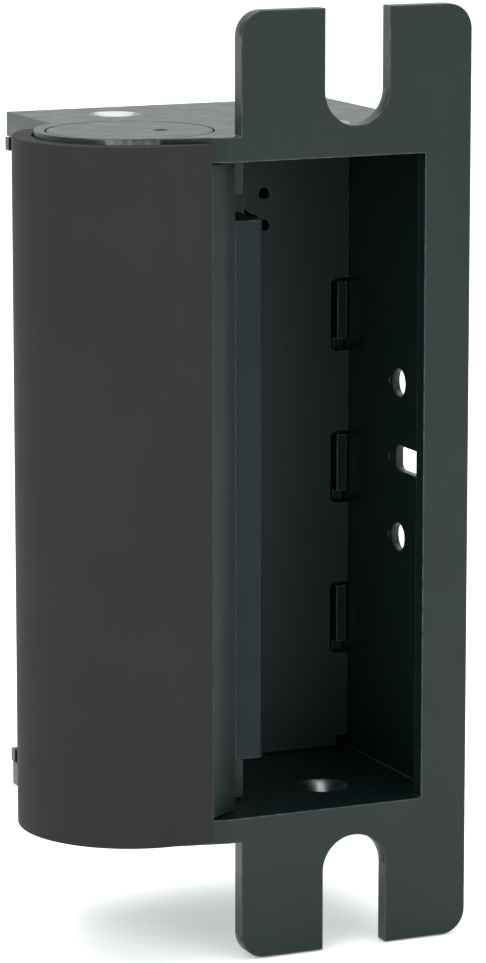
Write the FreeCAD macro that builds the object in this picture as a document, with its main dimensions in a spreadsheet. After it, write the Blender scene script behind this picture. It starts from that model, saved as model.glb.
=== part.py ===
"""Electric door strike: flanged housing, half-round keeper on a hinge pin, two solenoid-driven lock blocks.

Frame: millimetres, +X along the flange's width towards its plain edge, +Y into the door frame,
+Z up. The origin is the centre of the flange's front face, at mid height.
"""
import FreeCAD, Part
import os
import re
import Sketcher

doc = FreeCAD.newDocument("door_strike")

SIZES = {
    # flange
    "flange_height": 120.65,
    "flange_width": 31.6,
    "flange_thick": 2.07,
    "flange_corner": 3.2,
    "slot_width": 8.84,
    "slot_pitch": 100.0,
    # housing behind the flange
    "opening_half": 41.73,
    "opening_right": 9.47,
    "plate_thick": 3.14,
    "body_left": -31.6,
    "body_right": 13.7,
    "body_depth": 39.6,
    "wall": 1.0,
    "boss_width": 6.0,
    "boss_thick": 3.7,
    "boss_front": 31.2,
    "boss_right_x": 8.0,
    "boss_left_x": -12.0,
    # ears that carry the keeper's round ends
    "ear_x": -25.1,
    "ear_y": 13.9,
    "ear_radius": 11.85,
    "ear_root_x": -17.5,
    "ear_edge_inset": 1.2,
    "ear_edge_drop": 0.1,
    "cap_x": -25.4,
    "cap_y": 12.8,
    "cap_radius": 10.4,
    "cap_thick": 1.0,
    "cap_gap": 0.3,
    "cap_mark_x": -21.75,
    "cap_mark_y": 11.45,
    "cap_mark_radius": 0.9,
    "cap_mark_depth": 0.6,
    # holes in the housing
    "sink_radius": 3.3,
    "sink_depth": 1.6,
    "sink_hole": 1.7,
    "floor_hole_x": 0.5,
    "floor_hole_y": 11.0,
    "roof_hole_x": -19.8,
    "roof_hole_y": 31.2,
    "side_hole_y": 13.9,
    "side_hole_z": 10.2,
    "side_hole_radius": 1.85,
    "window_y": 11.45,
    "window_length": 6.1,
    "window_height": 3.3,
    "window_z": 0.3,
    "window_corner": 0.9,
    "pin_row_y": 16.5,
    "pin_row_radius": 0.45,
    # partition behind the latch pocket
    "partition_front": 29.2,
    "sheet": 1.2,
    "partition_left": -0.6,
    "tab_left": -2.6,
    "tab_height": 10.73,
    "tab_corner": 1.9,
    "notch_left": 10.1,
    "notch_height": 9.8,
    "notch_middle": -3.4,
    "notch_pitch": 20.55,
    "notch_corner": 0.9,
    "foot_notch_left": 11.0,
    "foot_notch_height": 1.4,
    "rivet_x": 0.4,
    "rivet_inset": 7.93,
    "rivet_pitch": 4.2,
    "rivet_radius": 0.75,
    # rear cover and side guard
    "cover_gap": 0.13,
    "rear_left": -30.8,
    "lug_left": -31.8,
    "lug_height": 1.7,
    "side_flange_gap": 0.2,
    "side_flange_front": 30.8,
    "side_flange_thick": 1.4,
    "side_flange_inset": 2.73,
    "tab_reach": 1.4,
    "tab_top_gap": 0.6,
    "tab_bottom_gap": 1.6,
    "guard_thick": 0.8,
    "guard_offset": 0.2,
    "guard_front": 31.8,
    "guard_rear_gap": 2.2,
    "bumper_gap": 0.1,
    "bumper_length": 2.5,
    "bumper_inset": 0.4,
    # hinge
    "hinge_x": -28.8,
    "hinge_y": 28.2,
    "pin_radius": 1.5,
    "pin_seat": 2.0,
    "bush_bore_gap": 0.05,
    "bush_radius": 2.2,
    "bush_length": 6.0,
    "knuckle_radius": 3.0,
    "knuckle_length": 21.73,
    "web_left": 2.3,
    "web_right": 2.7,
    "web_reach": 3.5,
    # keeper
    "end_gap": 0.3,
    "drum_radius": 14.3,
    "drum_step": 0.3,
    "drum_inner": 11.3,
    "drum_step_x": -19.7,
    "drum_rear": 24.2,
    "mouth_inset": 4.2,
    "disc_thick": 4.83,
    "disc_step_y": 8.9,
    "disc_right": -11.4,
    "spine_left": -20.0,
    "spine_front": 15.0,
    "spine_rear": 19.0,
    "pad_inset": 0.25,
    "pad_wall": 2.0,
    "pad_front": 3.8,
    "pad_end_inset": 7.23,
    "pad_drop": 0.56,
    "pad_round": 0.7,
    "pad_screw_pitch": 24.0,
    "skin": 0.6,
    "skin_seat_gap": 0.05,
    "skin_overlap": 2.47,
    "skin_right": -19.85,
    "skin_rear": 24.9,
    "skin_bevel_width": 1.15,
    "skin_bevel_depth": 0.35,
    "lip_gap": 0.3,
    "stud_radius": 1.2,
    "stud_pitch": 24.0,
    "nut_radius": 2.2,
    "nut_thick": 1.8,
    "nut_clear": 0.25,
    "heel_lead": 0.6,
    "heel_height": 4.6,
    "heel_width": 2.8,
    "heel_left": -30.0,
    "heel_rear": 35.3,
    # screws
    "screw_radius": 0.9,
    "screw_head_radius": 1.8,
    "screw_head_depth": 0.9,
    "cover_screw_length": 5.4,
    "cover_screw_inset": 2.03,
    "pad_screw_radius": 1.25,
    "pad_screw_head": 2.4,
    "pad_screw_length": 6.0,
    "pad_screw_sink": 1.2,
    # solenoids
    "solenoid_x": -15.2,
    "solenoid_y": 32.9,
    "yoke_width": 11.6,
    "yoke_front": 28.6,
    "shield_thick": 0.6,
    "shield_left": -20.9,
    "shield_gap": 0.4,
    "yoke_low": 1.0,
    "yoke_inset": 20.73,
    "bobbin_flange": 4.1,
    "bobbin_flange_thick": 0.8,
    "bobbin_tube": 2.6,
    "coil_radius": 4.0,
    "core_radius": 2.1,
    "bore_gap": 0.1,
    "core_length": 8.0,
    "travel": 4.2,
    "pole_gap": 0.2,
    "stem_radius": 1.5,
    "block_lead": 9.0,
    "block_height": 3.5,
    "block_depth": 3.4,
    "block_right": -12.5,
    "block_gap": 0.15,
    "block_pin_radius": 0.5,
    "yoke_screw_inset": 5.0,
    "yoke_screw_length": 2.4,
    # springs
    "spring_wire": 0.3,
    "spring_mean": 2.75,
    "spring_turns": 5.0,
    "spring_seat": 0.05,
    "torsion_wire": 0.4,
    "torsion_mean": 2.5,
    "torsion_turns": 12.0,
    "torsion_pitch": 0.92,
    "torsion_leg": 5.5,
    # circuit board and connector
    "board_left": -6.5,
    "board_right": 10.5,
    "board_half": 16.0,
    "board_front": 33.0,
    "board_thick": 1.4,
    "standoff_radius": 1.5,
    "standoff_z": 12.5,
    "standoff_x": 2.0,
    "socket_x": 2.0,
    "socket_width": 10.0,
    "socket_half": 5.0,
    "socket_recess": 0.2,
    "socket_wall": 0.9,
    "socket_depth": 3.0,
    "socket_gap": 0.3,
    "contact_radius": 0.32,
    "contact_pitch": 2.5,
    "contact_recess": 0.7,
    "diode_radius": 1.1,
    "diode_length": 5.0,
    "diode_x": 6.5,
    # how far a cutting shape runs past the surface that it cuts
    "over": 1.0,
    "beyond": 20.0,
}

# sizes that follow from others
TIED = {
    "skin_half": "opening_half + skin_overlap",
    "tab_half": "opening_half - tab_height",
    "side_flange_half": "opening_half - side_flange_inset",
    "cover_screw_z": "opening_half - cover_screw_inset",
    "rivet_upper_z": "opening_half - rivet_inset",
    "rivet_lower_z": "opening_half - rivet_inset - rivet_pitch",
    "guard_rear": "body_depth - guard_rear_gap",
    "disc_inner": "opening_half - end_gap - disc_thick",
    "drum_seat_radius": "drum_radius - drum_step",
    "drum_mouth_x": "ear_x + drum_radius - mouth_inset",
    "pad_right": "ear_x + drum_radius - pad_inset",
    "pad_half": "opening_half - pad_end_inset",
    "knuckle_start": "opening_half - knuckle_length",
    "yoke_length": "opening_half - yoke_inset",
    "yoke_screw_z": "yoke_low + yoke_screw_inset",
    "yoke_screw_pitch": "opening_half - yoke_inset - 2 * yoke_screw_inset",
    "block_low": "yoke_low + yoke_length + block_lead",
    "heel_low": "yoke_low + yoke_length + block_lead - travel - heel_lead",
    "socket_rear": "body_depth - socket_recess",
    "socket_floor": "body_depth - socket_recess - socket_depth",
    "contact_rear": "body_depth - contact_recess",
}

sheet = doc.addObject("Spreadsheet::Sheet", "Sizes")
for row, (alias, value) in enumerate({**SIZES, **TIED}.items(), start=1):
    sheet.set("A%d" % row, alias)
    sheet.set("B%d" % row, "=" + value if alias in TIED else str(value))
    sheet.setAlias("B%d" % row, alias)
doc.recompute()

ALIASES = {**SIZES, **TIED}
PARTS = []


# ---------------------------------------------------------------- modelling helpers

def formula(text):
    """An expression text in which each size's name points at its cell."""
    return re.sub(r"[a-z][a-z_]+", lambda word: "Sizes." + word.group(0) if word.group(0) in ALIASES
                  else word.group(0), str(text))


def bind(thing, prop, text):
    thing.setExpression(prop, formula(text))


def at(thing, place):
    """Bind an object's position to three formulas."""
    for axis, text in zip("xyz", place):
        bind(thing, "Placement.Base." + axis, text)


def box(low, high):
    """A block between two corners given as formulas."""
    block = doc.addObject("Part::Box", "Block")
    for prop, start, end in zip(("Length", "Width", "Height"), low, high):
        bind(block, prop, "(%s) - (%s)" % (end, start))
    at(block, low)
    return block


TURNS = {
    "Z": FreeCAD.Rotation(),
    "-Z": FreeCAD.Rotation(FreeCAD.Vector(1, 0, 0), 180),
    "X": FreeCAD.Rotation(FreeCAD.Vector(0, 1, 0), 90),
    "-X": FreeCAD.Rotation(FreeCAD.Vector(0, 1, 0), -90),
    "Y": FreeCAD.Rotation(FreeCAD.Vector(1, 0, 0), -90),
    "-Y": FreeCAD.Rotation(FreeCAD.Vector(1, 0, 0), 90),
}


def rod(radius, length, start, axis="Z"):
    """A cylinder that starts at a point and runs along an axis."""
    cylinder = doc.addObject("Part::Cylinder", "Rod")
    bind(cylinder, "Radius", radius)
    bind(cylinder, "Height", length)
    cylinder.Placement = FreeCAD.Placement(FreeCAD.Vector(), TURNS[axis])
    at(cylinder, start)
    return cylinder


def cone(radius, far_radius, length, start, axis="Z"):
    """A cone that starts at a point with the first radius and runs along an axis to the second."""
    taper = doc.addObject("Part::Cone", "Taper")
    bind(taper, "Radius1", radius)
    bind(taper, "Radius2", far_radius)
    bind(taper, "Height", length)
    taper.Placement = FreeCAD.Placement(FreeCAD.Vector(), TURNS[axis])
    at(taper, start)
    return taper


def prism(plane, outline, low, length):
    """A body padded from a closed outline of formula points, from a level along the plane's normal."""
    body = doc.addObject("PartDesign::Body", "Prism")
    support = [item for item in body.Origin.OriginFeatures if item.Role == plane][0]
    sketch = body.newObject("Sketcher::SketchObject", "Outline")
    sketch.AttachmentSupport = [(support, "")]
    sketch.MapMode = "FlatFace"
    inward = plane == "XZ_Plane"
    bind(sketch, "AttachmentOffset.Base.z", "-(%s)" % low if inward else low)
    count = len(outline)
    for index in range(count):
        angle = FreeCAD.Vector(index, index * index, 0)
        following = FreeCAD.Vector(index + 1, (index + 1) ** 2, 0)
        sketch.addGeometry(Part.LineSegment(angle, following), False)
    for index in range(count):
        sketch.addConstraint(Sketcher.Constraint("Coincident", index, 2, (index + 1) % count, 1))
    for index, (across, along) in enumerate(outline):
        for kind, text in (("DistanceX", across), ("DistanceY", along)):
            start = sketch.getPoint(index, 1)
            value = start.x if kind == "DistanceX" else start.y
            number = sketch.addConstraint(Sketcher.Constraint(kind, -1, 1, index, 1, value))
            sketch.setExpression("Constraints[%d]" % number, formula(text))
    pad = body.newObject("PartDesign::Pad", "Pad")
    pad.Profile = sketch
    bind(pad, "Length", length)
    pad.Reversed = inward
    sketch.Visibility = False
    body.Tip = pad
    return body


def fuse(*pieces):
    joined = doc.addObject("Part::MultiFuse", "Joined")
    joined.Shapes = list(pieces)
    joined.Refine = True
    return joined


def cut(base, *tools):
    result = doc.addObject("Part::Cut", "Cut")
    result.Base = base
    result.Tool = fuse(*tools) if len(tools) > 1 else tools[0]
    result.Refine = True
    return result


def common(first, second):
    result = doc.addObject("Part::Common", "Common")
    result.Base = first
    result.Tool = second
    return result


def group(*pieces):
    """Several separate solids kept as one node."""
    together = doc.addObject("Part::Compound", "Group")
    together.Links = list(pieces)
    return together


def round_edges(base, radius, chosen):
    """Fillet the edges of an object for which the test answers yes."""
    doc.recompute()
    size = float(sheet.get(radius))
    edges = [(number, size, size) for number, edge in enumerate(base.Shape.Edges, start=1) if chosen(edge)]
    if not edges:
        raise RuntimeError("no edge to round on " + base.Label)
    rounded = doc.addObject("Part::Fillet", "Rounded")
    rounded.Base = base
    rounded.Edges = edges
    return rounded


def runs_along(edge, axis):
    """Whether an edge is straight and parallel to X, Y or Z."""
    ends = edge.Vertexes
    if len(ends) != 2 or not isinstance(edge.Curve, Part.Line):
        return False
    step = ends[1].Point.sub(ends[0].Point)
    others = [getattr(step, name) for name in "xyz" if name != axis]
    return all(abs(value) < 1e-6 for value in others)


def part(name, thing):
    """Name a finished sub-part and list it for writing."""
    thing.Label = name
    PARTS.append(thing)
    return thing


def signed(side, text):
    """A formula, or its mirror below the middle plane."""
    return text if side > 0 else "-(%s)" % text


def slab(side, low, high):
    """A block given for the upper half, or its mirror image below the middle plane."""
    bottom, top = (low[2], high[2]) if side > 0 else ("-(%s)" % high[2], "-(%s)" % low[2])
    return box((low[0], low[1], bottom), (high[0], high[1], top))


def post(side, radius, length, start):
    """A rod that points away from the middle plane, above or below it."""
    return rod(radius, length, (start[0], start[1], signed(side, start[2])), "Z" if side > 0 else "-Z")


def spring(radius, wire, turns, start, length, turn):
    """A coil of round wire whose axis runs along Z or -Z from a point."""
    helix = doc.addObject("Part::Helix", "Coil")
    bind(helix, "Pitch", "(%s) / (%s)" % (length, turns))
    bind(helix, "Height", length)
    bind(helix, "Radius", radius)
    helix.Placement = FreeCAD.Placement(FreeCAD.Vector(), TURNS[turn])
    at(helix, start)
    section = doc.addObject("Part::Circle", "Wire")
    bind(section, "Radius", wire)
    section.Placement = FreeCAD.Placement(FreeCAD.Vector(), TURNS["-Y"])
    at(section, ("(%s) + (%s)" % (start[0], radius), start[1], start[2]))
    sweep = doc.addObject("Part::Sweep", "Spring")
    sweep.Sections = [section]
    sweep.Spine = (helix, [])
    sweep.Solid = True
    sweep.Frenet = True
    return sweep


# ---------------------------------------------------------------- housing

def sink(side, centre_x, centre_y, face, inwards):
    """A countersunk hole through a top or bottom plate, its mouth on the given face."""
    axis = "Z" if (side > 0) == inwards else "-Z"
    place = (centre_x, centre_y, signed(side, face))
    mouth = cone("sink_radius", "sink_hole", "sink_depth", place, axis)
    hole = rod("sink_hole", "plate_thick", place, axis)
    return [mouth, hole]


def flange():
    """Front flange with an open slot at each end and the latch opening at its left."""
    blank = box(("-flange_width / 2", "0", "-flange_height / 2"),
                ("flange_width / 2", "flange_thick", "flange_height / 2"))
    plate = round_edges(blank, "flange_corner", lambda edge: runs_along(edge, "y"))
    cuts = []
    for side in (1, -1):
        cuts.append(slab(side, ("-slot_width / 2", "-over", "slot_pitch / 2"),
                         ("slot_width / 2", "flange_thick + over", "flange_height / 2 + over")))
        cuts.append(rod("slot_width / 2", "flange_thick + 2 * over",
                        ("0", "-over", signed(side, "slot_pitch / 2")), "Y"))
    cuts.append(box(("-flange_width / 2 - over", "-over", "-opening_half"),
                    ("opening_right", "flange_thick + over", "opening_half")))
    return cut(plate, *cuts)


def end_plate(side):
    """Top or bottom plate with the round ear that stands out to the left."""
    level = "opening_half" if side > 0 else "-opening_half - plate_thick"
    outline = [("body_right", "0"), ("body_right", "body_depth"), ("body_left", "body_depth"),
               ("body_left", "ear_y"), ("ear_x - ear_edge_inset",
                                        "ear_y - ear_radius + ear_edge_drop"), ("ear_root_x", "0")]
    plate = prism("XY_Plane", outline, level, "plate_thick")
    ear = rod("ear_radius", "plate_thick", ("ear_x", "ear_y", level))
    blank = fuse(plate, ear)
    recess = post(side, "cap_radius + cap_gap", "cap_thick + over",
                  ("cap_x", "cap_y", "opening_half + plate_thick - cap_thick"))
    seat = post(side, "pin_radius", "pin_seat + over", ("hinge_x", "hinge_y", "opening_half - over"))
    holes = sink(side, "floor_hole_x", "floor_hole_y", "opening_half", True)
    holes += sink(side, "roof_hole_x", "roof_hole_y", "opening_half + plate_thick", False)
    return cut(blank, recess, seat, *holes)


def housing():
    """One casting: flange, top and bottom plates with ears, side wall and screw bosses."""
    wall = box(("body_right - wall", "flange_thick / 2", "-opening_half - over"),
               ("body_right", "body_depth", "opening_half + over"))
    holes = [rod("side_hole_radius", "wall + 2 * over", ("body_right - wall - over", "side_hole_y", place),
                 "X")
             for place in ("side_hole_z", "-side_hole_z")]
    holes += [rod("pin_row_radius", "wall + 2 * over", ("body_right - wall - over", "pin_row_y", place), "X")
              for place in ("side_hole_z", "0", "-side_hole_z")]
    window = box(("body_right - wall - over", "window_y - window_length / 2", "window_z - window_height / 2"),
                 ("body_right + over", "window_y + window_length / 2", "window_z + window_height / 2"))
    middle = float(sheet.get("window_y"))
    holes.append(round_edges(window, "window_corner",
                             lambda edge: runs_along(edge, "x") and edge.Vertexes[0].Point.y > middle))
    shell = fuse(flange(), end_plate(1), end_plate(-1), cut(wall, *holes))
    bosses = []
    threads = []
    for side in (1, -1):
        for centre in ("boss_right_x", "boss_left_x"):
            bosses.append(slab(side, ("%s - boss_width / 2" % centre, "boss_front",
                                      "opening_half - boss_thick"),
                               ("%s + boss_width / 2" % centre, "body_depth - sheet",
                                "opening_half + over")))
            threads.append(rod("screw_radius", "cover_screw_length",
                               (centre, "body_depth", signed(side, "cover_screw_z")), "-Y"))
    return part("housing", cut(fuse(shell, *bosses), *threads))


def ear_cap(side, name):
    """Flush round cap in the ear, with a small marked hole."""
    level = "opening_half + plate_thick - cap_thick"
    disc = post(side, "cap_radius", "cap_thick", ("cap_x", "cap_y", level))
    mark = post(side, "cap_mark_radius", "cap_mark_depth + over",
                ("cap_mark_x", "cap_mark_y", "opening_half + plate_thick - cap_mark_depth"))
    part(name, cut(disc, mark))


# ---------------------------------------------------------------- sheet parts

def notch_level(index):
    """Middle height of one of the three notches, counted from the lowest."""
    return "notch_middle + (%d) * notch_pitch" % (index - 1)


def partition_plate():
    """Plate behind the latch pocket, with three notches and a small foot notch at its right edge."""
    half = "opening_half - cover_gap"
    right = "body_right - wall"
    outline = [("tab_left", half), ("tab_left", "tab_half"), ("partition_left", "tab_half"),
               ("partition_left", "-tab_half"), ("tab_left", "-tab_half"),
               ("tab_left", "-(%s)" % half), ("foot_notch_left", "-(%s)" % half),
               ("foot_notch_left", "-(%s) + foot_notch_height" % half),
               (right, "-(%s) + foot_notch_height" % half)]
    for index in range(3):
        low = "%s - notch_height / 2" % notch_level(index)
        high = "%s + notch_height / 2" % notch_level(index)
        outline += [(right, low), ("notch_left", low), ("notch_left", high), (right, high)]
    outline.append((right, half))
    blank = prism("XZ_Plane", outline, "partition_front", "sheet")
    tab_left, tab_half, notch_left = [float(sheet.get(name)) for name in ("tab_left", "tab_half",
                                                                          "notch_left")]

    def tab_edge(edge):
        point = edge.Vertexes[0].Point
        return (runs_along(edge, "y") and abs(point.x - tab_left) < 0.01
                and abs(abs(point.z) - tab_half) < 0.01)

    def notch_edge(edge):
        return runs_along(edge, "y") and abs(edge.Vertexes[0].Point.x - notch_left) < 0.01

    plate = round_edges(round_edges(blank, "tab_corner", tab_edge), "notch_corner", notch_edge)
    rivets = [rod("rivet_radius", "sheet + 2 * over", ("rivet_x", "partition_front - over", level), "Y")
              for level in ("rivet_upper_z", "rivet_lower_z")]
    part("partition_plate", cut(plate, *rivets))


def screw_places():
    """The four screws of the rear cover, as X and Z formulas."""
    return [(centre, signed(side, "cover_screw_z"))
            for side in (1, -1) for centre in ("boss_right_x", "boss_left_x")]


def yoke_screw_places():
    """The four screws that hold the solenoids, as X and Z formulas."""
    return [("solenoid_x", signed(side, level))
            for side in (1, -1) for level in ("yoke_screw_z", "yoke_screw_z + yoke_screw_pitch")]


def rear_screw(place, length):
    """A countersunk screw driven from behind, flush with the rear cover."""
    start = (place[0], "body_depth", place[1])
    head = cone("screw_head_radius", "screw_radius", "screw_head_depth", start, "-Y")
    return fuse(head, rod("screw_radius", length, start, "-Y"))


def rear_cover():
    """Rear sheet with corner lugs and a side flange whose three tabs sit in the partition's notches."""
    half = "opening_half - cover_gap"
    front = "body_depth - sheet"
    panel = box(("rear_left", front, "-(%s)" % half), ("body_right - wall - side_flange_gap", "body_depth",
                                                       half))
    lugs = [slab(side, ("lug_left", front, "%s - lug_height" % half), ("rear_left + over", "body_depth",
                                                                       half))
            for side in (1, -1)]
    flange_right = "body_right - wall - side_flange_gap"
    flange_left = "%s - side_flange_thick" % flange_right
    side_flange = box((flange_left, "side_flange_front", "-side_flange_half"),
                      (flange_right, "body_depth", "side_flange_half"))
    tabs = [box((flange_left, "side_flange_front - tab_reach",
                 "%s - notch_height / 2 + tab_bottom_gap" % notch_level(index)),
                (flange_right, "side_flange_front + over",
                 "%s + notch_height / 2 - tab_top_gap" % notch_level(index))) for index in range(3)]
    holes = []
    for place in screw_places() + yoke_screw_places():
        start = (place[0], "body_depth", place[1])
        holes.append(cone("screw_head_radius", "screw_radius", "screw_head_depth", start, "-Y"))
        holes.append(rod("screw_radius", "sheet + over", start, "-Y"))
    holes.append(box(("socket_x - socket_width / 2 - socket_gap", "%s - over" % front,
                      "-socket_half - socket_gap"),
                     ("socket_x + socket_width / 2 + socket_gap", "body_depth + over",
                      "socket_half + socket_gap")))
    holes += [slab(side, ("boss_right_x", "boss_front", "opening_half - boss_thick - side_flange_gap"),
                   ("boss_right_x + boss_width / 2 + side_flange_gap", front, "opening_half"))
              for side in (1, -1)]
    part("rear_cover", cut(fuse(panel, side_flange, *(lugs + tabs)), *holes))
    part("rear_cover_screws", group(*[rear_screw(place, "cover_screw_length") for place in screw_places()]))
    part("solenoid_screws", group(*[rear_screw(place,
                                               "yoke_screw_length") for place in yoke_screw_places()]))


def mechanism_shield():
    """Thin plate that covers the front of both solenoids, beside the partition."""
    half = "opening_half - cover_gap"
    part("mechanism_shield", box(("shield_left", "yoke_front - shield_thick", "-(%s)" % half),
                                 ("tab_left - shield_gap", "yoke_front", half)))


def side_guard():
    """Thin plate that closes the left side, and the rubber bumpers that the keeper's heels rest on."""
    half = "opening_half - cover_gap"
    left = "body_left + guard_offset"
    plate = box((left, "guard_front", "-(%s)" % half), ("%s + guard_thick" % left, "guard_rear", half))
    part("side_guard", plate)
    inner = "%s + guard_thick" % left
    pads = [slab(side, (inner, "heel_rear - bumper_length", "heel_low + bumper_inset"),
                 ("heel_left - bumper_gap", "heel_rear",
                  "heel_low + heel_height - bumper_inset")) for side in (1, -1)]
    part("stop_bumpers", group(*pads))


# ---------------------------------------------------------------- keeper

def keeper_frame():
    """Half-round drum with end discs, latch pad spine and hinge knuckles, and its two locking heels."""
    half = "opening_half - end_gap"
    height = "2 * (%s)" % half
    low = "-(%s)" % half
    seat = rod("drum_seat_radius", height, ("ear_x", "ear_y", low))
    nose = common(rod("drum_radius", height, ("ear_x", "ear_y", low)),
                  box(("drum_step_x", "ear_y - drum_radius - over", low), ("0", "drum_rear", half)))
    brow = box(("ear_x", "ear_y - drum_seat_radius", low), ("drum_step_x", "ear_y", half))
    behind = box(("ear_x - beyond", "drum_rear", "%s - over" % low),
                 ("ear_x + beyond", "drum_rear + beyond", "%s + over" % half))
    drum = cut(fuse(seat, nose, brow), behind)
    hollow = rod("drum_inner", "2 * disc_inner", ("ear_x", "ear_y", "-disc_inner"))
    mouth = box(("drum_mouth_x", "ear_y - beyond", "-disc_inner"), ("ear_x + beyond", "ear_y + beyond",
                                                                    "disc_inner"))
    steps = [slab(side, ("drum_mouth_x", "ear_y - beyond", "disc_inner - over"),
                  ("ear_x + beyond", "disc_step_y", "%s + over" % half)) for side in (1, -1)]
    trims = [slab(side, ("disc_right", "disc_step_y - over", "disc_inner - over"),
                  ("ear_x + beyond", "ear_y + beyond", "%s + over" % half)) for side in (1, -1)]
    shell = cut(drum, hollow, mouth, *(steps + trims))
    pad_inner = "pad_right - pad_wall"
    spine = box(("spine_left", "spine_front", "-disc_inner - over"), (pad_inner, "spine_rear",
                                                                      "disc_inner + over"))
    additions = [spine]
    bores = []
    for side in (1, -1):
        additions.append(post(side, "knuckle_radius", "%s - knuckle_start" % half,
                              ("hinge_x", "hinge_y", "knuckle_start")))
        additions.append(slab(side, ("hinge_x - web_left", "drum_rear - web_reach", "knuckle_start"),
                              ("hinge_x + web_right", "hinge_y", half)))
        bores.append(post(side, "bush_radius", "%s - knuckle_start + 2 * over" % half,
                          ("hinge_x", "hinge_y", "knuckle_start - over")))
    for index in (-1, 0, 1):
        bores.append(rod("pad_screw_radius", "pad_screw_length - pad_wall",
                         (pad_inner, "(spine_front + spine_rear) / 2",
                          "%d * pad_screw_pitch" % index), "-X"))
        bores.append(rod("stud_radius", "drum_seat_radius - drum_inner + 2 * over",
                         ("ear_x - drum_seat_radius - over", "ear_y", "%d * stud_pitch" % index), "X"))
    part("keeper_frame", cut(fuse(shell, *additions), *bores))
    heels = []
    for side in (1, -1):
        heel = slab(side, ("heel_left", "hinge_y", "heel_low"),
                    ("heel_left + heel_width", "heel_rear", "heel_low + heel_height"))
        root = post(side, "knuckle_radius", "heel_height + 2 * over", ("hinge_x", "hinge_y",
                                                                       "heel_low - over"))
        heels.append(cut(heel, root))
    part("lock_heels", group(*heels))


def latch_pad():
    """Hardened angle that the latch bears on, held to the drum's spine by three countersunk screws."""
    inner = "pad_right - pad_wall"
    bottom, top = "-pad_half - pad_drop", "pad_half - pad_drop"
    front = box(("drum_mouth_x", "pad_front", bottom), ("pad_right", "pad_front + pad_wall", top))
    face = box((inner, "pad_front", bottom), ("pad_right", "spine_rear", top))
    corner = (float(sheet.get("pad_right")), float(sheet.get("pad_front")))

    def outside(edge):
        point = edge.Vertexes[0].Point
        return runs_along(edge, "z") and abs(point.x - corner[0]) < 0.01 and abs(point.y - corner[1]) < 0.01

    angle = round_edges(fuse(front, face), "pad_round", outside)
    places = [("pad_right", "(spine_front + spine_rear) / 2", "%d * pad_screw_pitch" % index)
              for index in (-1, 0, 1)]
    holes = []
    screws = []
    for place in places:
        holes.append(cone("pad_screw_head", "pad_screw_radius", "pad_screw_sink", place, "-X"))
        holes.append(rod("pad_screw_radius", "pad_wall + over", place, "-X"))
        screws.append(fuse(cone("pad_screw_head", "pad_screw_radius", "pad_screw_sink", place, "-X"),
                           rod("pad_screw_radius", "pad_screw_length", place, "-X")))
    part("latch_pad", cut(angle, *holes))
    part("latch_pad_screws", group(*screws))


def keeper_cover():
    """Thin formed cover: a half cylinder that runs on into a flat front strip, lipped round both ears."""
    inner = "drum_seat_radius + skin_seat_gap"
    outer = "%s + skin" % inner
    height = "2 * skin_half"
    ring = cut(rod(outer, height, ("ear_x", "ear_y", "-skin_half")),
               rod(inner, "%s + 2 * over" % height, ("ear_x", "ear_y", "-skin_half - over")))
    left = common(ring, box(("ear_x - beyond", "ear_y - beyond", "-skin_half"), ("ear_x", "skin_rear",
                                                                                 "skin_half")))
    front = "ear_y - (%s)" % outer
    back = "ear_y - (%s)" % inner
    outline = [("ear_x", front), ("skin_right - skin_bevel_width", front),
               ("skin_right", "%s + skin_bevel_depth" % front), ("skin_right", back), ("ear_x", back)]
    strip = prism("XY_Plane", outline, "-skin_half", height)
    slope = "(ear_y - ear_radius + ear_edge_drop) / (ear_root_x - ear_x + ear_edge_inset)"
    lips = []
    for low in ("skin_half - skin", "-skin_half"):
        washer = cut(rod(outer, "skin", ("ear_x", "ear_y", low)),
                     rod("ear_radius + lip_gap", "skin + 2 * over", ("ear_x", "ear_y", "%s - over" % low)),
                     box(("body_left - lip_gap", "ear_y", "%s - over" % low),
                         ("ear_x + beyond", "ear_y + beyond", "%s + skin + over" % low)))
        lips.append(common(washer, box(("ear_x - beyond", "ear_y - beyond", "%s - over" % low),
                                       ("ear_x", "skin_rear", "%s + skin + over" % low))))
        ends = [("ear_x", back), ("skin_right", back),
                ("skin_right", "(ear_root_x - skin_right) * %s - lip_gap" % slope),
                ("ear_x", "(ear_root_x - ear_x) * %s - lip_gap" % slope)]
        lips.append(prism("XY_Plane", ends, low, "skin"))
    part("keeper_cover", fuse(left, strip, *lips))
    studs = []
    nuts = []
    for index in (-1, 0, 1):
        level = "%d * stud_pitch" % index
        studs.append(rod("stud_radius", "%s - drum_inner + nut_thick + over" % inner,
                         ("ear_x - (%s) + skin_seat_gap" % inner, "ear_y", level), "X"))
        nut = rod("nut_radius", "nut_thick", ("ear_x - drum_inner + nut_clear", "ear_y", level), "X")
        nuts.append(cut(nut, rod("stud_radius", "nut_thick + 2 * over", ("ear_x - drum_inner - over",
                                                                         "ear_y", level), "X")))
    part("cover_studs", group(*studs))
    part("cover_nuts", group(*nuts))


def hinge():
    """Hinge pin seated in both plates, and the bushes that turn on it."""
    reach = "opening_half + pin_seat"
    part("hinge_pin", rod("pin_radius", "2 * (%s)" % reach, ("hinge_x", "hinge_y", "-(%s)" % reach)))
    for side, name in ((1, "hinge_bush_upper"), (-1, "hinge_bush_lower")):
        start = ("hinge_x", "hinge_y", "opening_half - end_gap - bush_length")
        bush = cut(post(side, "bush_radius", "bush_length", start),
                   post(side, "pin_radius + bush_bore_gap", "bush_length + over", start))
        part(name, bush)


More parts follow.
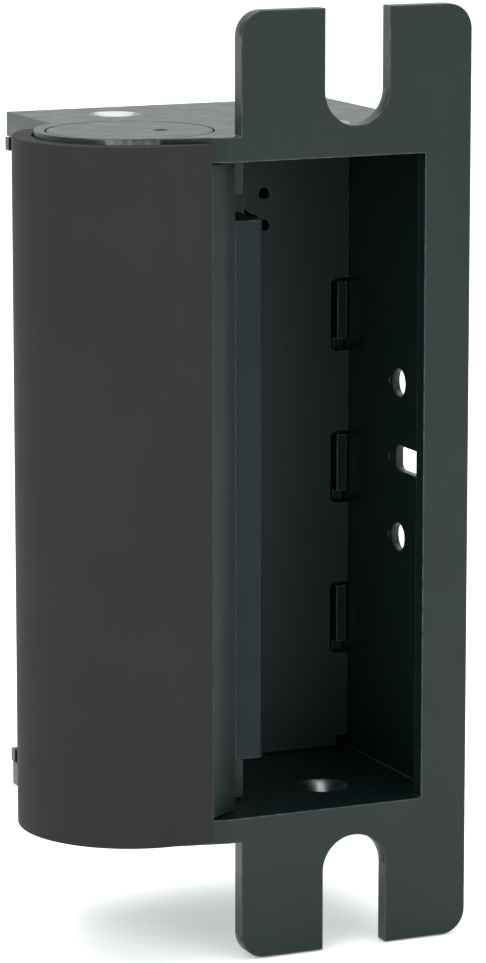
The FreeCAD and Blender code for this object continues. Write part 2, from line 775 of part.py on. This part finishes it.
def torsion_spring():
    """Closing spring coiled on the hinge pin, with a straight leg at each end."""
    length = "torsion_turns * torsion_pitch"
    coil = spring("torsion_mean", "torsion_wire", "torsion_turns",
                  ("hinge_x", "hinge_y", "-(%s) / 2" % length), length, "Z")
    rear_leg = rod("torsion_wire", "torsion_leg", ("hinge_x + torsion_mean", "hinge_y",
                                                   "-(%s) / 2" % length), "Y")
    front_leg = rod("torsion_wire", "torsion_leg", ("hinge_x + torsion_mean", "hinge_y",
                                                    "(%s) / 2" % length), "-Y")
    part("torsion_spring", fuse(coil, rear_leg, front_leg))


# ---------------------------------------------------------------- solenoids

def solenoid(side, half_name):
    """One solenoid with its plunger, lock block and spring, above or below the middle plane."""
    left = "solenoid_x - yoke_width / 2"
    right = "solenoid_x + yoke_width / 2"
    rear = "body_depth - sheet"
    top = "yoke_low + yoke_length"
    blank = slab(side, (left, "yoke_front", "yoke_low"), (right, rear, top))
    inside = slab(side, ("%s - over" % left, "yoke_front - over", "yoke_low + sheet"),
                  ("%s + over" % right, "%s - sheet" % rear, "%s - sheet" % top))
    bore = post(side, "core_radius + bore_gap", "sheet + 2 * over", ("solenoid_x", "solenoid_y",
                                                                     "%s - sheet - over" % top))
    foot = post(side, "core_radius", "sheet + 2 * over", ("solenoid_x", "solenoid_y", "yoke_low - over"))
    threads = [rod("screw_radius", "yoke_screw_length", (place[0], "body_depth", place[1]), "-Y")
               for place in yoke_screw_places()]
    part("solenoid_yoke_" + half_name, cut(blank, inside, bore, foot, *threads))

    low = "yoke_low + sheet"
    high = "%s - sheet" % top
    centre = ("solenoid_x", "solenoid_y")
    inner = "core_radius + bore_gap"
    spool = fuse(post(side, "bobbin_flange", "bobbin_flange_thick", centre + (low,)),
                 post(side, "bobbin_flange", "bobbin_flange_thick",
                      centre + ("%s - bobbin_flange_thick" % high,)),
                 post(side, "bobbin_tube", "yoke_length - 2 * sheet", centre + (low,)))
    part("solenoid_bobbin_" + half_name, cut(spool, post(side, inner, "yoke_length", centre + (low,))))
    coil_length = "yoke_length - 2 * sheet - 2 * bobbin_flange_thick"
    coil_low = "%s + bobbin_flange_thick" % low
    part("solenoid_coil_" + half_name,
         cut(post(side, "coil_radius", coil_length, centre + (coil_low,)),
             post(side, "bobbin_tube", coil_length, centre + (coil_low,))))
    part("solenoid_core_" + half_name, post(side, "core_radius", "core_length", centre + ("yoke_low",)))

    plunger_low = "yoke_low + core_length + pole_gap + travel"
    shoulder = "block_low - (%s)" % plunger_low
    stem = post(side, "stem_radius", "%s + block_height" % shoulder, centre + (plunger_low,))
    pin_level = signed(side, "block_low + block_height / 2")
    pin_front = "solenoid_y - block_depth / 2"
    pin_hole = rod("block_pin_radius", "block_depth", ("solenoid_x", pin_front, pin_level), "Y")
    plunger = fuse(post(side, "core_radius", shoulder, centre + (plunger_low,)), stem)
    part("plunger_" + half_name, cut(plunger, pin_hole))
    block = slab(side, ("heel_left + heel_width + block_gap", pin_front, "block_low"),
                 ("block_right", "solenoid_y + block_depth / 2", "block_low + block_height"))
    stem_hole = post(side, "stem_radius", "block_height + 2 * over", centre + ("block_low - over",))
    second_hole = rod("block_pin_radius", "block_depth", ("solenoid_x", pin_front, pin_level), "Y")
    part("lock_block_" + half_name, cut(block, stem_hole, second_hole))
    part("lock_block_pin_" + half_name,
         rod("block_pin_radius", "block_depth", ("solenoid_x", pin_front, pin_level), "Y"))
    seat = "%s + spring_wire + spring_seat" % top
    part("plunger_spring_" + half_name,
         spring("spring_mean", "spring_wire", "spring_turns", centre + (signed(side, seat),),
                "block_low - (%s) - spring_wire - spring_seat" % seat, "Z" if side > 0 else "-Z"))


# ---------------------------------------------------------------- electrical parts

def electrical():
    """Circuit board on two standoffs, with the wiring socket that opens through the rear cover."""
    rear = "board_front + board_thick"
    board = box(("board_left", "board_front", "-board_half"), ("board_right", rear, "board_half"))
    part("circuit_board", board)
    part("board_standoffs", group(*[rod("standoff_radius", "body_depth - sheet - (%s)" % rear,
                                        ("standoff_x", rear, signed(side, "standoff_z")), "Y")
                                    for side in (1, -1)]))
    left = "socket_x - socket_width / 2"
    right = "socket_x + socket_width / 2"
    shell = box((left, rear, "-socket_half"), (right, "socket_rear", "socket_half"))
    pocket = box(("%s + socket_wall" % left, "socket_floor", "-socket_half + socket_wall"),
                 ("%s - socket_wall" % right, "socket_rear + over", "socket_half - socket_wall"))
    places = [("socket_x", "(%.1f) * contact_pitch" % step) for step in (-1.5, -0.5, 0.5, 1.5)]
    holes = [rod("contact_radius", "socket_floor - (%s) + over" % rear, (across, rear, level), "Y")
             for across, level in places]
    part("connector_socket", cut(shell, pocket, *holes))
    part("connector_pins", group(*[rod("contact_radius", "contact_rear - (%s)" % rear, (across, rear,
                                                                                        level), "Y")
                                   for across, level in places]))
    part("board_diodes", group(*[rod("diode_radius", "diode_length",
                                     ("diode_x", "board_front - diode_radius",
                                      "%s - diode_length / 2" % level))
                                 for level in ("standoff_z", "0", "-standoff_z")]))


# ---------------------------------------------------------------- the whole strike

def check(thing):
    """Stop on any object that failed or has no sound shape."""
    if "Invalid" in thing.State or "Error" in thing.State:
        raise RuntimeError("failed object: %s %s" % (thing.Label, thing.State))


def main():
    housing()
    ear_cap(1, "ear_cap_upper")
    ear_cap(-1, "ear_cap_lower")
    partition_plate()
    rear_cover()
    side_guard()
    mechanism_shield()
    hinge()
    keeper_frame()
    latch_pad()
    keeper_cover()
    torsion_spring()
    solenoid(1, "upper")
    solenoid(-1, "lower")
    electrical()
    doc.recompute()
    for thing in doc.Objects:
        check(thing)
    for thing in PARTS:
        if thing.Shape.isNull() or not thing.Shape.isValid() or not thing.Shape.Solids:
            raise RuntimeError("no sound solid in " + thing.Label)
    os.makedirs("parts", exist_ok=True)
    for thing in PARTS:
        thing.Shape.exportStep("parts/%s.step" % thing.Label)
        print(thing.Label, len(thing.Shape.Solids), round(thing.Shape.Volume, 2))


main()
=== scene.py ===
"""Looks of the electric door strike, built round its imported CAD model. Metres, in the CAD's own frame."""
import math

import bmesh
import bpy
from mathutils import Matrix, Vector


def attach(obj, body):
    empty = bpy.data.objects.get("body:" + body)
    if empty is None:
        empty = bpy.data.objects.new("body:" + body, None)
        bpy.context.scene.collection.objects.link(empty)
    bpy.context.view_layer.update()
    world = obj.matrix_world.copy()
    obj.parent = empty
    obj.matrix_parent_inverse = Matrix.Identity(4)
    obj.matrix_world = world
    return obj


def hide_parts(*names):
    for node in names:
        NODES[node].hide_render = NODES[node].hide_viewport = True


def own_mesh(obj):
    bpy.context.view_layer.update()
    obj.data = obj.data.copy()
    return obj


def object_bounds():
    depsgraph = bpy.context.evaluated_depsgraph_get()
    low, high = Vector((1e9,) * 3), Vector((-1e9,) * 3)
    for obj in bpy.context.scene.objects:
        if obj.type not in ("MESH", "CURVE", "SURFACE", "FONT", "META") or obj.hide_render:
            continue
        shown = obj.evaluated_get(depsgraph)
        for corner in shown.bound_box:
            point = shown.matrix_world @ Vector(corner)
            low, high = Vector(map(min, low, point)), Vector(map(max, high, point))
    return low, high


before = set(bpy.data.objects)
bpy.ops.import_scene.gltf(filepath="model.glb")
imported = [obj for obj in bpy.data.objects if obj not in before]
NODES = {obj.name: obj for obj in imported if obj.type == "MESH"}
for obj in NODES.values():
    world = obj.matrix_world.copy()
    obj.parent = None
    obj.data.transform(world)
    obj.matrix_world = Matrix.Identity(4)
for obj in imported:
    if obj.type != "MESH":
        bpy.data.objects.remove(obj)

CAD_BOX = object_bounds()
MM = 0.001
SINK_RADIUS = 3.28 * MM
ROOF_SINK = (-19.8 * MM, 31.2 * MM, 0)
FLOOR_SINK = (0.5 * MM, 11.0 * MM, 0)
COIL_BORE = 2.62 * MM
COIL_WIRE = 0.36 * MM
THREAD_PITCH = 0.45 * MM


# ---------------------------------------------------------------- material nodes

class Finish:
    """A Principled material with short ways to add procedural detail. Lengths are in metres."""

    def __init__(self, name, colour, roughness, metallic=0.0, specular=0.5):
        self.material = bpy.data.materials.new(name)
        self.material.use_nodes = True
        self.tree = self.material.node_tree
        self.shader = self.tree.nodes["Principled BSDF"]
        self.shader.inputs["Metallic"].default_value = metallic
        self.shader.inputs["Specular IOR Level"].default_value = specular
        self.place = self.add("ShaderNodeTexCoord").outputs["Object"]
        self.colour = colour
        self.roughness = roughness
        self.normal = None
        self.metallic = None

    def add(self, kind, **settings):
        node = self.tree.nodes.new(kind)
        for key, value in settings.items():
            setattr(node, key, value)
        return node

    def link(self, source, target):
        self.tree.links.new(source, target)

    def noise(self, size, stretch=(1, 1, 1), detail=3.0):
        """Noise from 0 to 1 with features of about this size, stretched along an axis if asked."""
        mapping = self.add("ShaderNodeMapping")
        mapping.inputs["Scale"].default_value = [1 / (size * s) for s in stretch]
        self.link(self.place, mapping.inputs["Vector"])
        node = self.add("ShaderNodeTexNoise")
        node.inputs["Scale"].default_value = 1.0
        node.inputs["Detail"].default_value = detail
        self.link(mapping.outputs[0], node.inputs["Vector"])
        return node.outputs["Fac"]

    def range(self, value, low, high, start=0.3, end=0.7):
        """A value between start and end brought to between low and high."""
        node = self.add("ShaderNodeMapRange")
        self.link(value, node.inputs["Value"])
        for key, number in (("From Min", start), ("From Max", end), ("To Min", low), ("To Max", high)):
            node.inputs[key].default_value = number
        return node.outputs["Result"]

    def tint(self, factor, colour):
        """Blend the colour so far towards another by a factor."""
        node = self.add("ShaderNodeMix", data_type="RGBA")
        factor_in, first, second = node.inputs[0], node.inputs[6], node.inputs[7]
        self.link(factor, factor_in)
        if isinstance(self.colour, tuple):
            first.default_value = (*self.colour, 1.0)
        else:
            self.link(self.colour, first)
        second.default_value = (*colour, 1.0)
        self.colour = node.outputs[2]

    def multiply(self, first, second):
        node = self.add("ShaderNodeMath", operation="MULTIPLY")
        self.link(first, node.inputs[0])
        self.link(second, node.inputs[1])
        return node.outputs[0]

    def mottle(self, colour, size, start=0.35, end=0.75, stretch=(1, 1, 1), detail=3.0):
        """Patches of a second colour."""
        factor = self.range(self.noise(size, stretch, detail), 0.0, 1.0, start, end)
        self.tint(factor, colour)
        return self

    def rough(self, size, spread, stretch=(1, 1, 1)):
        """Roughness that varies about its middle."""
        middle = self.roughness
        self.roughness = self.range(self.noise(size, stretch), middle - spread, middle + spread)
        return self

    def soft_edges(self, radius):
        """Corners that shade as if they were rounded."""
        node = self.add("ShaderNodeBevel", samples=6)
        node.inputs["Radius"].default_value = radius
        self.normal = node.outputs[0]
        return self

    def grain(self, size, height, stretch=(1, 1, 1), detail=2.0):
        """Bumps of this size and height."""
        node = self.add("ShaderNodeBump")
        node.inputs["Strength"].default_value = 1.0
        node.inputs["Distance"].default_value = height
        self.link(self.noise(size, stretch, detail), node.inputs["Height"])
        if self.normal is not None:
            self.link(self.normal, node.inputs["Normal"])
        self.normal = node.outputs[0]
        return self

    def edge_wear_and_highlight(self, colour, radius, amount, patch):
        """Corners turned to another colour, in patches: rubbed wear, and a painted highlight standing in for
        light caught on rounded edges.
        """
        bevel = self.add("ShaderNodeBevel", samples=6)
        bevel.inputs["Radius"].default_value = radius
        facing = self.add("ShaderNodeVectorMath", operation="DOT_PRODUCT")
        self.link(bevel.outputs[0], facing.inputs[0])
        self.link(self.add("ShaderNodeNewGeometry").outputs["Normal"], facing.inputs[1])
        edge = self.range(facing.outputs["Value"], amount, 0.0, 0.80, 0.985)
        factor = self.multiply(edge, self.range(self.noise(patch, detail=4.0), 0.15, 1.0, 0.35, 0.65))
        self.tint(factor, colour)
        return self

    def bare_metal(self, axis, radius, colour):
        """Uncoated metal within a radius of an upright axis."""
        flat = self.add("ShaderNodeVectorMath", operation="MULTIPLY")
        self.link(self.place, flat.inputs[0])
        flat.inputs[1].default_value = (1, 1, 0)
        away = self.add("ShaderNodeVectorMath", operation="DISTANCE")
        self.link(flat.outputs[0], away.inputs[0])
        away.inputs[1].default_value = axis
        factor = self.range(away.outputs["Value"], 1.0, 0.0, radius, radius + 0.06 * MM)
        self.tint(factor, colour)
        self.metallic = factor if self.metallic is None else self.maximum(self.metallic, factor)
        return self

    def maximum(self, first, second):
        node = self.add("ShaderNodeMath", operation="MAXIMUM")
        self.link(first, node.inputs[0])
        self.link(second, node.inputs[1])
        return node.outputs[0]

    def done(self):
        if self.metallic is not None:
            self.link(self.metallic, self.shader.inputs["Metallic"])
        self.link(self.colour, self.shader.inputs["Base Color"])
        if isinstance(self.roughness, float):
            self.shader.inputs["Roughness"].default_value = self.roughness
        else:
            self.link(self.roughness, self.shader.inputs["Roughness"])
        if self.normal is not None:
            self.link(self.normal, self.shader.inputs["Normal"])
        return self.material


def coat(name, colour, patch, roughness, bare=()):
    """Satin green-grey coating on the casting and the sheet parts."""
    finish = Finish(name, colour, roughness, specular=0.3)
    finish.mottle(patch, 9 * MM).rough(3 * MM, 0.04).soft_edges(0.18 * MM)
    finish.grain(0.16 * MM, 0.0035 * MM)
    # The lighter corners here are a painted highlight, standing in for light caught on the coat's rounded
    # edges.
    finish.edge_wear_and_highlight((0.22, 0.25, 0.25), 0.35 * MM, 0.5, 1.6 * MM)
    for axis in bare:
        finish.bare_metal(axis, SINK_RADIUS, (0.30, 0.33, 0.33))
    return finish.done()


HOUSING = coat("housing_coat", (0.0030, 0.0095, 0.0092), (0.0045, 0.0115, 0.0112), 0.32,
               bare=[ROOF_SINK, FLOOR_SINK])
INNER = coat("inner_coat", (0.010, 0.016, 0.016), (0.013, 0.019, 0.019), 0.46)

skin = Finish("keeper_skin", (0.0235, 0.0230, 0.0225), 0.6, specular=0.05)
skin.mottle((0.0260, 0.0255, 0.0250), 14 * MM).rough(5 * MM, 0.03)
skin.soft_edges(0.12 * MM).grain(0.12 * MM, 0.002 * MM, stretch=(1, 1, 8))
SKIN = skin.edge_wear_and_highlight((0.11, 0.11, 0.11), 0.2 * MM, 0.3, 1.2 * MM).done()

pad = Finish("latch_pad_steel", (0.005, 0.011, 0.013), 0.45, specular=0.16)
pad.mottle((0.008, 0.014, 0.016), 6 * MM).rough(2 * MM, 0.06, stretch=(1, 1, 10))
pad.soft_edges(0.15 * MM).grain(0.10 * MM, 0.002 * MM, stretch=(1, 1, 14))
PAD = pad.edge_wear_and_highlight((0.20, 0.21, 0.21), 0.3 * MM, 0.5, 1.2 * MM).done()

black = Finish("black_oxide", (0.018, 0.019, 0.020), 0.42, metallic=0.6)
black.mottle((0.030, 0.031, 0.033), 2 * MM).rough(1 * MM, 0.08)
black.soft_edges(0.1 * MM).grain(0.08 * MM, 0.002 * MM)
BLACK = black.edge_wear_and_highlight((0.25, 0.25, 0.25), 0.2 * MM, 0.4, 0.8 * MM).done()

ground = Finish("ground_steel", (0.50, 0.50, 0.51), 0.28, metallic=1.0)
ground.mottle((0.42, 0.42, 0.43), 3 * MM, stretch=(1, 1, 6)).rough(1 * MM, 0.08, stretch=(1, 1, 8))
STEEL = ground.soft_edges(0.1 * MM).grain(0.06 * MM, 0.0015 * MM, stretch=(4, 4, 1)).done()

plated = Finish("zinc_plate", (0.33, 0.35, 0.38), 0.40, metallic=1.0)
plated.mottle((0.25, 0.28, 0.32), 2.5 * MM).rough(1.5 * MM, 0.1).soft_edges(0.12 * MM)
ZINC = plated.grain(0.12 * MM, 0.002 * MM).done()

wound = Finish("enamelled_copper", (0.42, 0.14, 0.05), 0.30, metallic=0.85)
wound.mottle((0.55, 0.22, 0.09), 0.9 * MM, stretch=(1, 1, 0.2)).rough(1 * MM, 0.08)
COPPER = wound.grain(0.09 * MM, 0.01 * MM, stretch=(12, 12, 1)).done()

bush = Finish("sintered_bronze", (0.45, 0.27, 0.11), 0.45, metallic=0.9)
bush.mottle((0.30, 0.18, 0.08), 0.5 * MM).rough(0.6 * MM, 0.12)
BRONZE = bush.grain(0.12 * MM, 0.01 * MM).done()

moulded = Finish("bobbin_nylon", (0.55, 0.52, 0.44), 0.45)
moulded.mottle((0.50, 0.47, 0.38), 2 * MM).rough(1 * MM, 0.06).soft_edges(0.1 * MM)
NYLON = moulded.grain(0.10 * MM, 0.003 * MM).done()

socket = Finish("socket_plastic", (0.014, 0.014, 0.015), 0.48)
socket.mottle((0.020, 0.020, 0.021), 1.5 * MM).rough(1 * MM, 0.06).soft_edges(0.12 * MM)
PLASTIC = socket.grain(0.08 * MM, 0.004 * MM).done()

mask = Finish("board_mask", (0.012, 0.075, 0.030), 0.30)
mask.mottle((0.025, 0.13, 0.055), 1.1 * MM, start=0.52, end=0.54, stretch=(1, 1, 3), detail=0.0)
BOARD = mask.rough(1 * MM, 0.05).grain(0.25 * MM, 0.004 * MM).done()

pads = Finish("soft_rubber", (0.016, 0.016, 0.016), 0.75)
pads.mottle((0.026, 0.026, 0.026), 0.8 * MM).rough(0.5 * MM, 0.1)
RUBBER = pads.grain(0.07 * MM, 0.006 * MM).done()

COATS = {
    "housing": HOUSING, "ear_cap_upper": HOUSING, "ear_cap_lower": HOUSING, "rear_cover": HOUSING,
    "partition_plate": INNER, "mechanism_shield": INNER, "side_guard": INNER, "keeper_frame": INNER,
    "keeper_cover": SKIN, "latch_pad": PAD, "latch_pad_screws": BLACK, "rear_cover_screws": BLACK,
    "solenoid_screws": ZINC, "hinge_pin": STEEL, "hinge_bush_upper": BRONZE, "hinge_bush_lower": BRONZE,
    "cover_studs": STEEL, "cover_nuts": ZINC, "torsion_spring": STEEL, "stop_bumpers": RUBBER,
    "circuit_board": BOARD, "board_standoffs": NYLON, "connector_socket": PLASTIC, "connector_pins": BRONZE,
    "board_diodes": PLASTIC, "lock_heels": BLACK,
}
for half in ("upper", "lower"):
    COATS.update({
        "solenoid_yoke_" + half: ZINC, "solenoid_bobbin_" + half: NYLON, "solenoid_coil_" + half: COPPER,
        "solenoid_core_" + half: STEEL, "plunger_" + half: STEEL, "lock_block_" + half: BLACK,
        "lock_block_pin_" + half: STEEL, "plunger_spring_" + half: STEEL,
    })
for name, node in NODES.items():
    node.data.materials.clear()
    node.data.materials.append(COATS[name])


# ---------------------------------------------------------------- edges of the carried-over parts

WELD_WITHIN = 1e-7
FLAT_WITHIN = math.radians(1)
SHARP_OVER = math.radians(40)


def ease(name, width):
    """Round a part's sharp edges a little, without touching its mesh."""
    node = NODES[name]
    weld = node.modifiers.new("weld", "WELD")
    weld.merge_threshold = WELD_WITHIN
    merge = node.modifiers.new("flats", "DECIMATE")
    merge.decimate_type = "DISSOLVE"
    merge.angle_limit = FLAT_WITHIN
    bevel = node.modifiers.new("edges", "BEVEL")
    bevel.width = width
    bevel.segments = 2
    bevel.limit_method = "ANGLE"
    bevel.angle_limit = SHARP_OVER
    bevel.harden_normals = True


EDGES = {
    "housing": 0.34, "keeper_cover": 0.1, "latch_pad": 0.15, "partition_plate": 0.12, "rear_cover": 0.15,
    "keeper_frame": 0.2, "ear_cap_upper": 0.12, "ear_cap_lower": 0.12,
}
for name, width in EDGES.items():
    ease(name, width * MM)


# ---------------------------------------------------------------- turned and wound pieces

ROUND = 48


def solids(name):
    """The box of each separate solid of a node, as (lowest, highest) corners."""
    work = bmesh.new()
    work.from_mesh(NODES[name].data)
    bmesh.ops.remove_doubles(work, verts=work.verts, dist=WELD_WITHIN)
    left = set(work.verts)
    boxes = []
    while left:
        island, edge = set(), [left.pop()]
        while edge:
            vertex = edge.pop()
            island.add(vertex)
            for link in vertex.link_edges:
                other = link.other_vert(vertex)
                if other in left:
                    left.discard(other)
                    edge.append(other)
        boxes.append((Vector([min(v.co[i] for v in island) for i in range(3)]),
                      Vector([max(v.co[i] for v in island) for i in range(3)])))
    work.free()
    return sorted(boxes, key=lambda corners: (round(corners[0].z, 4), round(corners[0].x, 4)))


def reach(shape, angle):
    """Distance from the axis to a unit outline: round, six-sided (across corners) or six-lobed."""
    if shape == "hex":
        return math.cos(math.pi / 6) / math.cos((angle % (math.pi / 3)) - math.pi / 6)
    if shape == "lobes":
        return 0.88 + 0.12 * math.cos(6 * angle)
    return 1.0


def turned(work, loops, place, along, closed=False):
    """Add a skin over loops of (shape, radius, height) round an axis that starts at a point."""
    turn = Vector(along).to_track_quat("Z", "Y").to_matrix()
    rings = []
    for shape, radius, height in loops:
        ring = []
        for step in range(ROUND):
            angle = 2 * math.pi * step / ROUND
            out = radius * reach(shape, angle)
            ring.append(work.verts.new(Vector(place) + turn @ Vector((out * math.cos(angle),
                                                                      out * math.sin(angle), height))))
        rings.append(ring)
    pairs = list(zip(rings, rings[1:])) + ([(rings[-1], rings[0])] if closed else [])
    for lower, upper in pairs:
        for step in range(ROUND):
            following = (step + 1) % ROUND
            work.faces.new((lower[step], lower[following], upper[following], upper[step]))
    if not closed:
        work.faces.new(list(reversed(rings[0])))
        work.faces.new(rings[-1])


def piece(name, work, node, body, material, smooth=35):
    """A finished piece that stands for a CAD node and rides its body."""
    bmesh.ops.recalc_face_normals(work, faces=work.faces)
    mesh = bpy.data.meshes.new(name)
    work.to_mesh(mesh)
    work.free()
    thing = bpy.data.objects.new(name, mesh)
    bpy.context.scene.collection.objects.link(thing)
    mesh.materials.append(material)
    for face in mesh.polygons:
        face.use_smooth = True
    mesh.set_sharp_from_angle(angle=math.radians(smooth))
    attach(thing, body)
    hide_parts(node)
    return thing


def screws(name, node, body, slot, direction, head, shank, depth, material):
    """Countersunk screws with a six-lobed recess and a threaded shank; direction points into the part."""
    work = bmesh.new()
    axis = max(range(3), key=lambda i: abs(direction[i]))
    for low, high in solids(node):
        place = (low + high) / 2
        place[axis] = high[axis] if direction[axis] < 0 else low[axis]
        length = high[axis] - low[axis]
        recess = 0.46 * head
        loops = [("lobes", 0.6 * recess, 0.75 * depth), ("lobes", recess, 0.62 * depth),
                 ("lobes", recess, 0.05 * MM), ("lobes", 1.08 * recess, 0.0), ("round", 0.95 * head, 0.0),
                 ("round", head, 0.04 * MM), ("round", shank, depth)]
        height = depth + 0.3 * MM
        while height + THREAD_PITCH < length - 0.2 * MM:
            loops += [("round", shank * 0.84, height), ("round", shank, height + THREAD_PITCH / 2)]
            height += THREAD_PITCH
        loops.append(("round", shank * 0.7, length))
        turned(work, loops, place, direction)
    return piece(name, work, node, body, material, smooth=30)


def nuts(name, node, body, material):
    """Six-sided nuts with chamfered corners and a through hole, on the X axis."""
    work = bmesh.new()
    for low, high in solids(node):
        place = (low + high) / 2
        place.x = low.x
        thick = high.x - low.x
        corner = (high.z - low.z) / 2
        bore = 0.55 * corner
        turned(work, [("round", bore, 0.0), ("hex", 0.9 * corner, 0.0), ("hex", corner, 0.12 * thick),
                      ("hex", corner, 0.88 * thick), ("hex", 0.9 * corner, thick), ("round", bore, thick)],
               place, (1, 0, 0), closed=True)
    return piece(name, work, node, body, material, smooth=25)


def winding(name, node, body, bore, material):
    """A coil of round wire seen as close turns, wound along Z."""
    work = bmesh.new()
    low, high = solids(node)[0]
    place = (low + high) / 2
    place.z = low.z
    outer = (high.x - low.x) / 2
    length = high.z - low.z
    turns = round(length / COIL_WIRE)
    wire = length / turns / 2
    loops = [("round", bore, 0.0)]
    for index in range(turns):
        for step in range(6):
            angle = math.pi * (step + 0.5) / 6
            loops.append(("round", outer - wire + wire * math.sin(angle),
                          wire * (2 * index + 1 - math.cos(angle))))
    loops.append(("round", bore, length))
    turned(work, loops, place, (0, 0, 1), closed=True)
    return piece(name, work, node, body, material, smooth=80)


def diodes(name, node, body, material):
    """Moulded diodes with domed ends and a raised polarity band."""
    work = bmesh.new()
    for low, high in solids(node):
        axis = max(range(3), key=lambda i: high[i] - low[i])
        place = (low + high) / 2
        place[axis] = low[axis]
        length = high[axis] - low[axis]
        radius = min(high[i] - low[i] for i in range(3)) / 2
        along = [0, 0, 0]
        along[axis] = 1
        turned(work, [("round", 0.25 * radius, 0.0), ("round", 0.25 * radius, 0.09 * length),
                      ("round", 0.8 * radius, 0.1 * length), ("round", 0.96 * radius, 0.15 * length),
                      ("round", 0.96 * radius, 0.68 * length), ("round", radius, 0.69 * length),
                      ("round", radius, 0.8 * length), ("round", 0.96 * radius, 0.81 * length),
                      ("round", 0.96 * radius, 0.86 * length), ("round", 0.8 * radius, 0.9 * length),
                      ("round", 0.25 * radius, 0.91 * length), ("round", 0.25 * radius, length)],
               place, along)
    return piece(name, work, node, body, material)


def return_spring(half, node):
    """A plunger's coil spring, made from its CAD node as a piece with a mesh of its own on the strike body.
    """
    work = bmesh.new()
    work.from_mesh(NODES[node].data)
    bmesh.ops.remove_doubles(work, verts=work.verts, dist=WELD_WITHIN)
    thing = piece("return_spring_" + half, work, node, "strike_body", STEEL, smooth=60)
    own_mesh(thing)


SCREW = dict(head=1.8 * MM, shank=0.88 * MM, depth=0.9 * MM)
screws("cover_screw_heads", "rear_cover_screws", "strike_body", "zinc", (0, -1, 0), material=ZINC, **SCREW)
screws("solenoid_screw_heads", "solenoid_screws", "strike_body", "zinc", (0, -1, 0), material=ZINC, **SCREW)
PAD_SCREW = dict(head=2.4 * MM, shank=1.23 * MM, depth=1.2 * MM)
screws("pad_screw_heads", "latch_pad_screws", "keeper", "zinc", (-1, 0, 0), material=ZINC, **PAD_SCREW)
nuts("hex_nuts", "cover_nuts", "keeper", ZINC)
for half in ("upper", "lower"):
    winding("winding_" + half, "solenoid_coil_" + half, "strike_body", COIL_BORE, COPPER)
    return_spring(half, "plunger_spring_" + half)
diodes("diode_bodies", "board_diodes", "strike_body", PLASTIC)


# ---------------------------------------------------------------- camera, lights and floor

def camera():
    """A long lens to the left of the front and a little above the middle."""
    data = bpy.data.cameras.new("camera")
    eye = bpy.data.objects.new("camera", data)
    bpy.context.scene.collection.objects.link(eye)
    forward = Vector((0.39858, 0.89825, -0.18514))
    eye.location = Vector((-239.32, -505.54, 106.05)) * MM
    eye.rotation_mode = "QUATERNION"
    eye.rotation_quaternion = forward.to_track_quat("-Z", "Y")
    data.sensor_width = 36
    data.lens = 168.4
    data.shift_x = -0.0046
    data.shift_y = -0.0017
    data.clip_start = 0.01
    data.clip_end = 50
    bpy.context.scene.camera = eye


def area_light(name, place, target, size, power):
    """A soft rectangular light turned towards a point."""
    data = bpy.data.lights.new(name, "AREA")
    data.shape = "RECTANGLE"
    data.size, data.size_y = size
    data.energy = power
    lamp = bpy.data.objects.new(name, data)
    bpy.context.scene.collection.objects.link(lamp)
    lamp.location = place
    lamp.rotation_mode = "QUATERNION"
    lamp.rotation_quaternion = (Vector(target) - Vector(place)).to_track_quat("-Z", "Y")


def stage():
    """Pale floor just under the part, and an even pale surround."""
    low = CAD_BOX[0]
    mesh = bpy.data.meshes.new("floor")
    reach = 6.0
    level = low.z - 0.0002
    corners = [(-reach, -reach, level), (reach, -reach, level), (reach, reach, level), (-reach, reach, level)]
    mesh.from_pydata(corners, [], [(0, 1, 2, 3)])
    floor = bpy.data.objects.new("floor", mesh)
    bpy.context.scene.collection.objects.link(floor)
    paper = Finish("paper", (0.93, 0.93, 0.93), 0.9, specular=0.2)
    paper.shader.inputs["Emission Color"].default_value = (1, 1, 1, 1)
    paper.shader.inputs["Emission Strength"].default_value = 0.3
    mesh.materials.append(paper.mottle((0.95, 0.95, 0.95), 0.4).grain(0.6 * MM, 0.01 * MM).done())
    world = bpy.data.worlds.new("studio")
    world.use_nodes = True
    backdrop = world.node_tree.nodes["Background"]
    backdrop.inputs["Color"].default_value = (0.95, 1.0, 1.0, 1.0)
    backdrop.inputs["Strength"].default_value = 0.92
    bpy.context.scene.world = world
    bpy.context.scene.view_settings.view_transform = "Standard"


camera()
stage()
area_light("overhead", (0.1, 0.3, 1.2), (0, 0.02, 0), (1.6, 1.6), 16)
area_light("key", (0.35, -1.3, 0.55), (0, 0, 0), (0.8, 0.9), 3.5)
area_light("left", (-0.42, -0.24, 0.34), (0, 0, 0.03), (0.3, 0.3), 0.9)
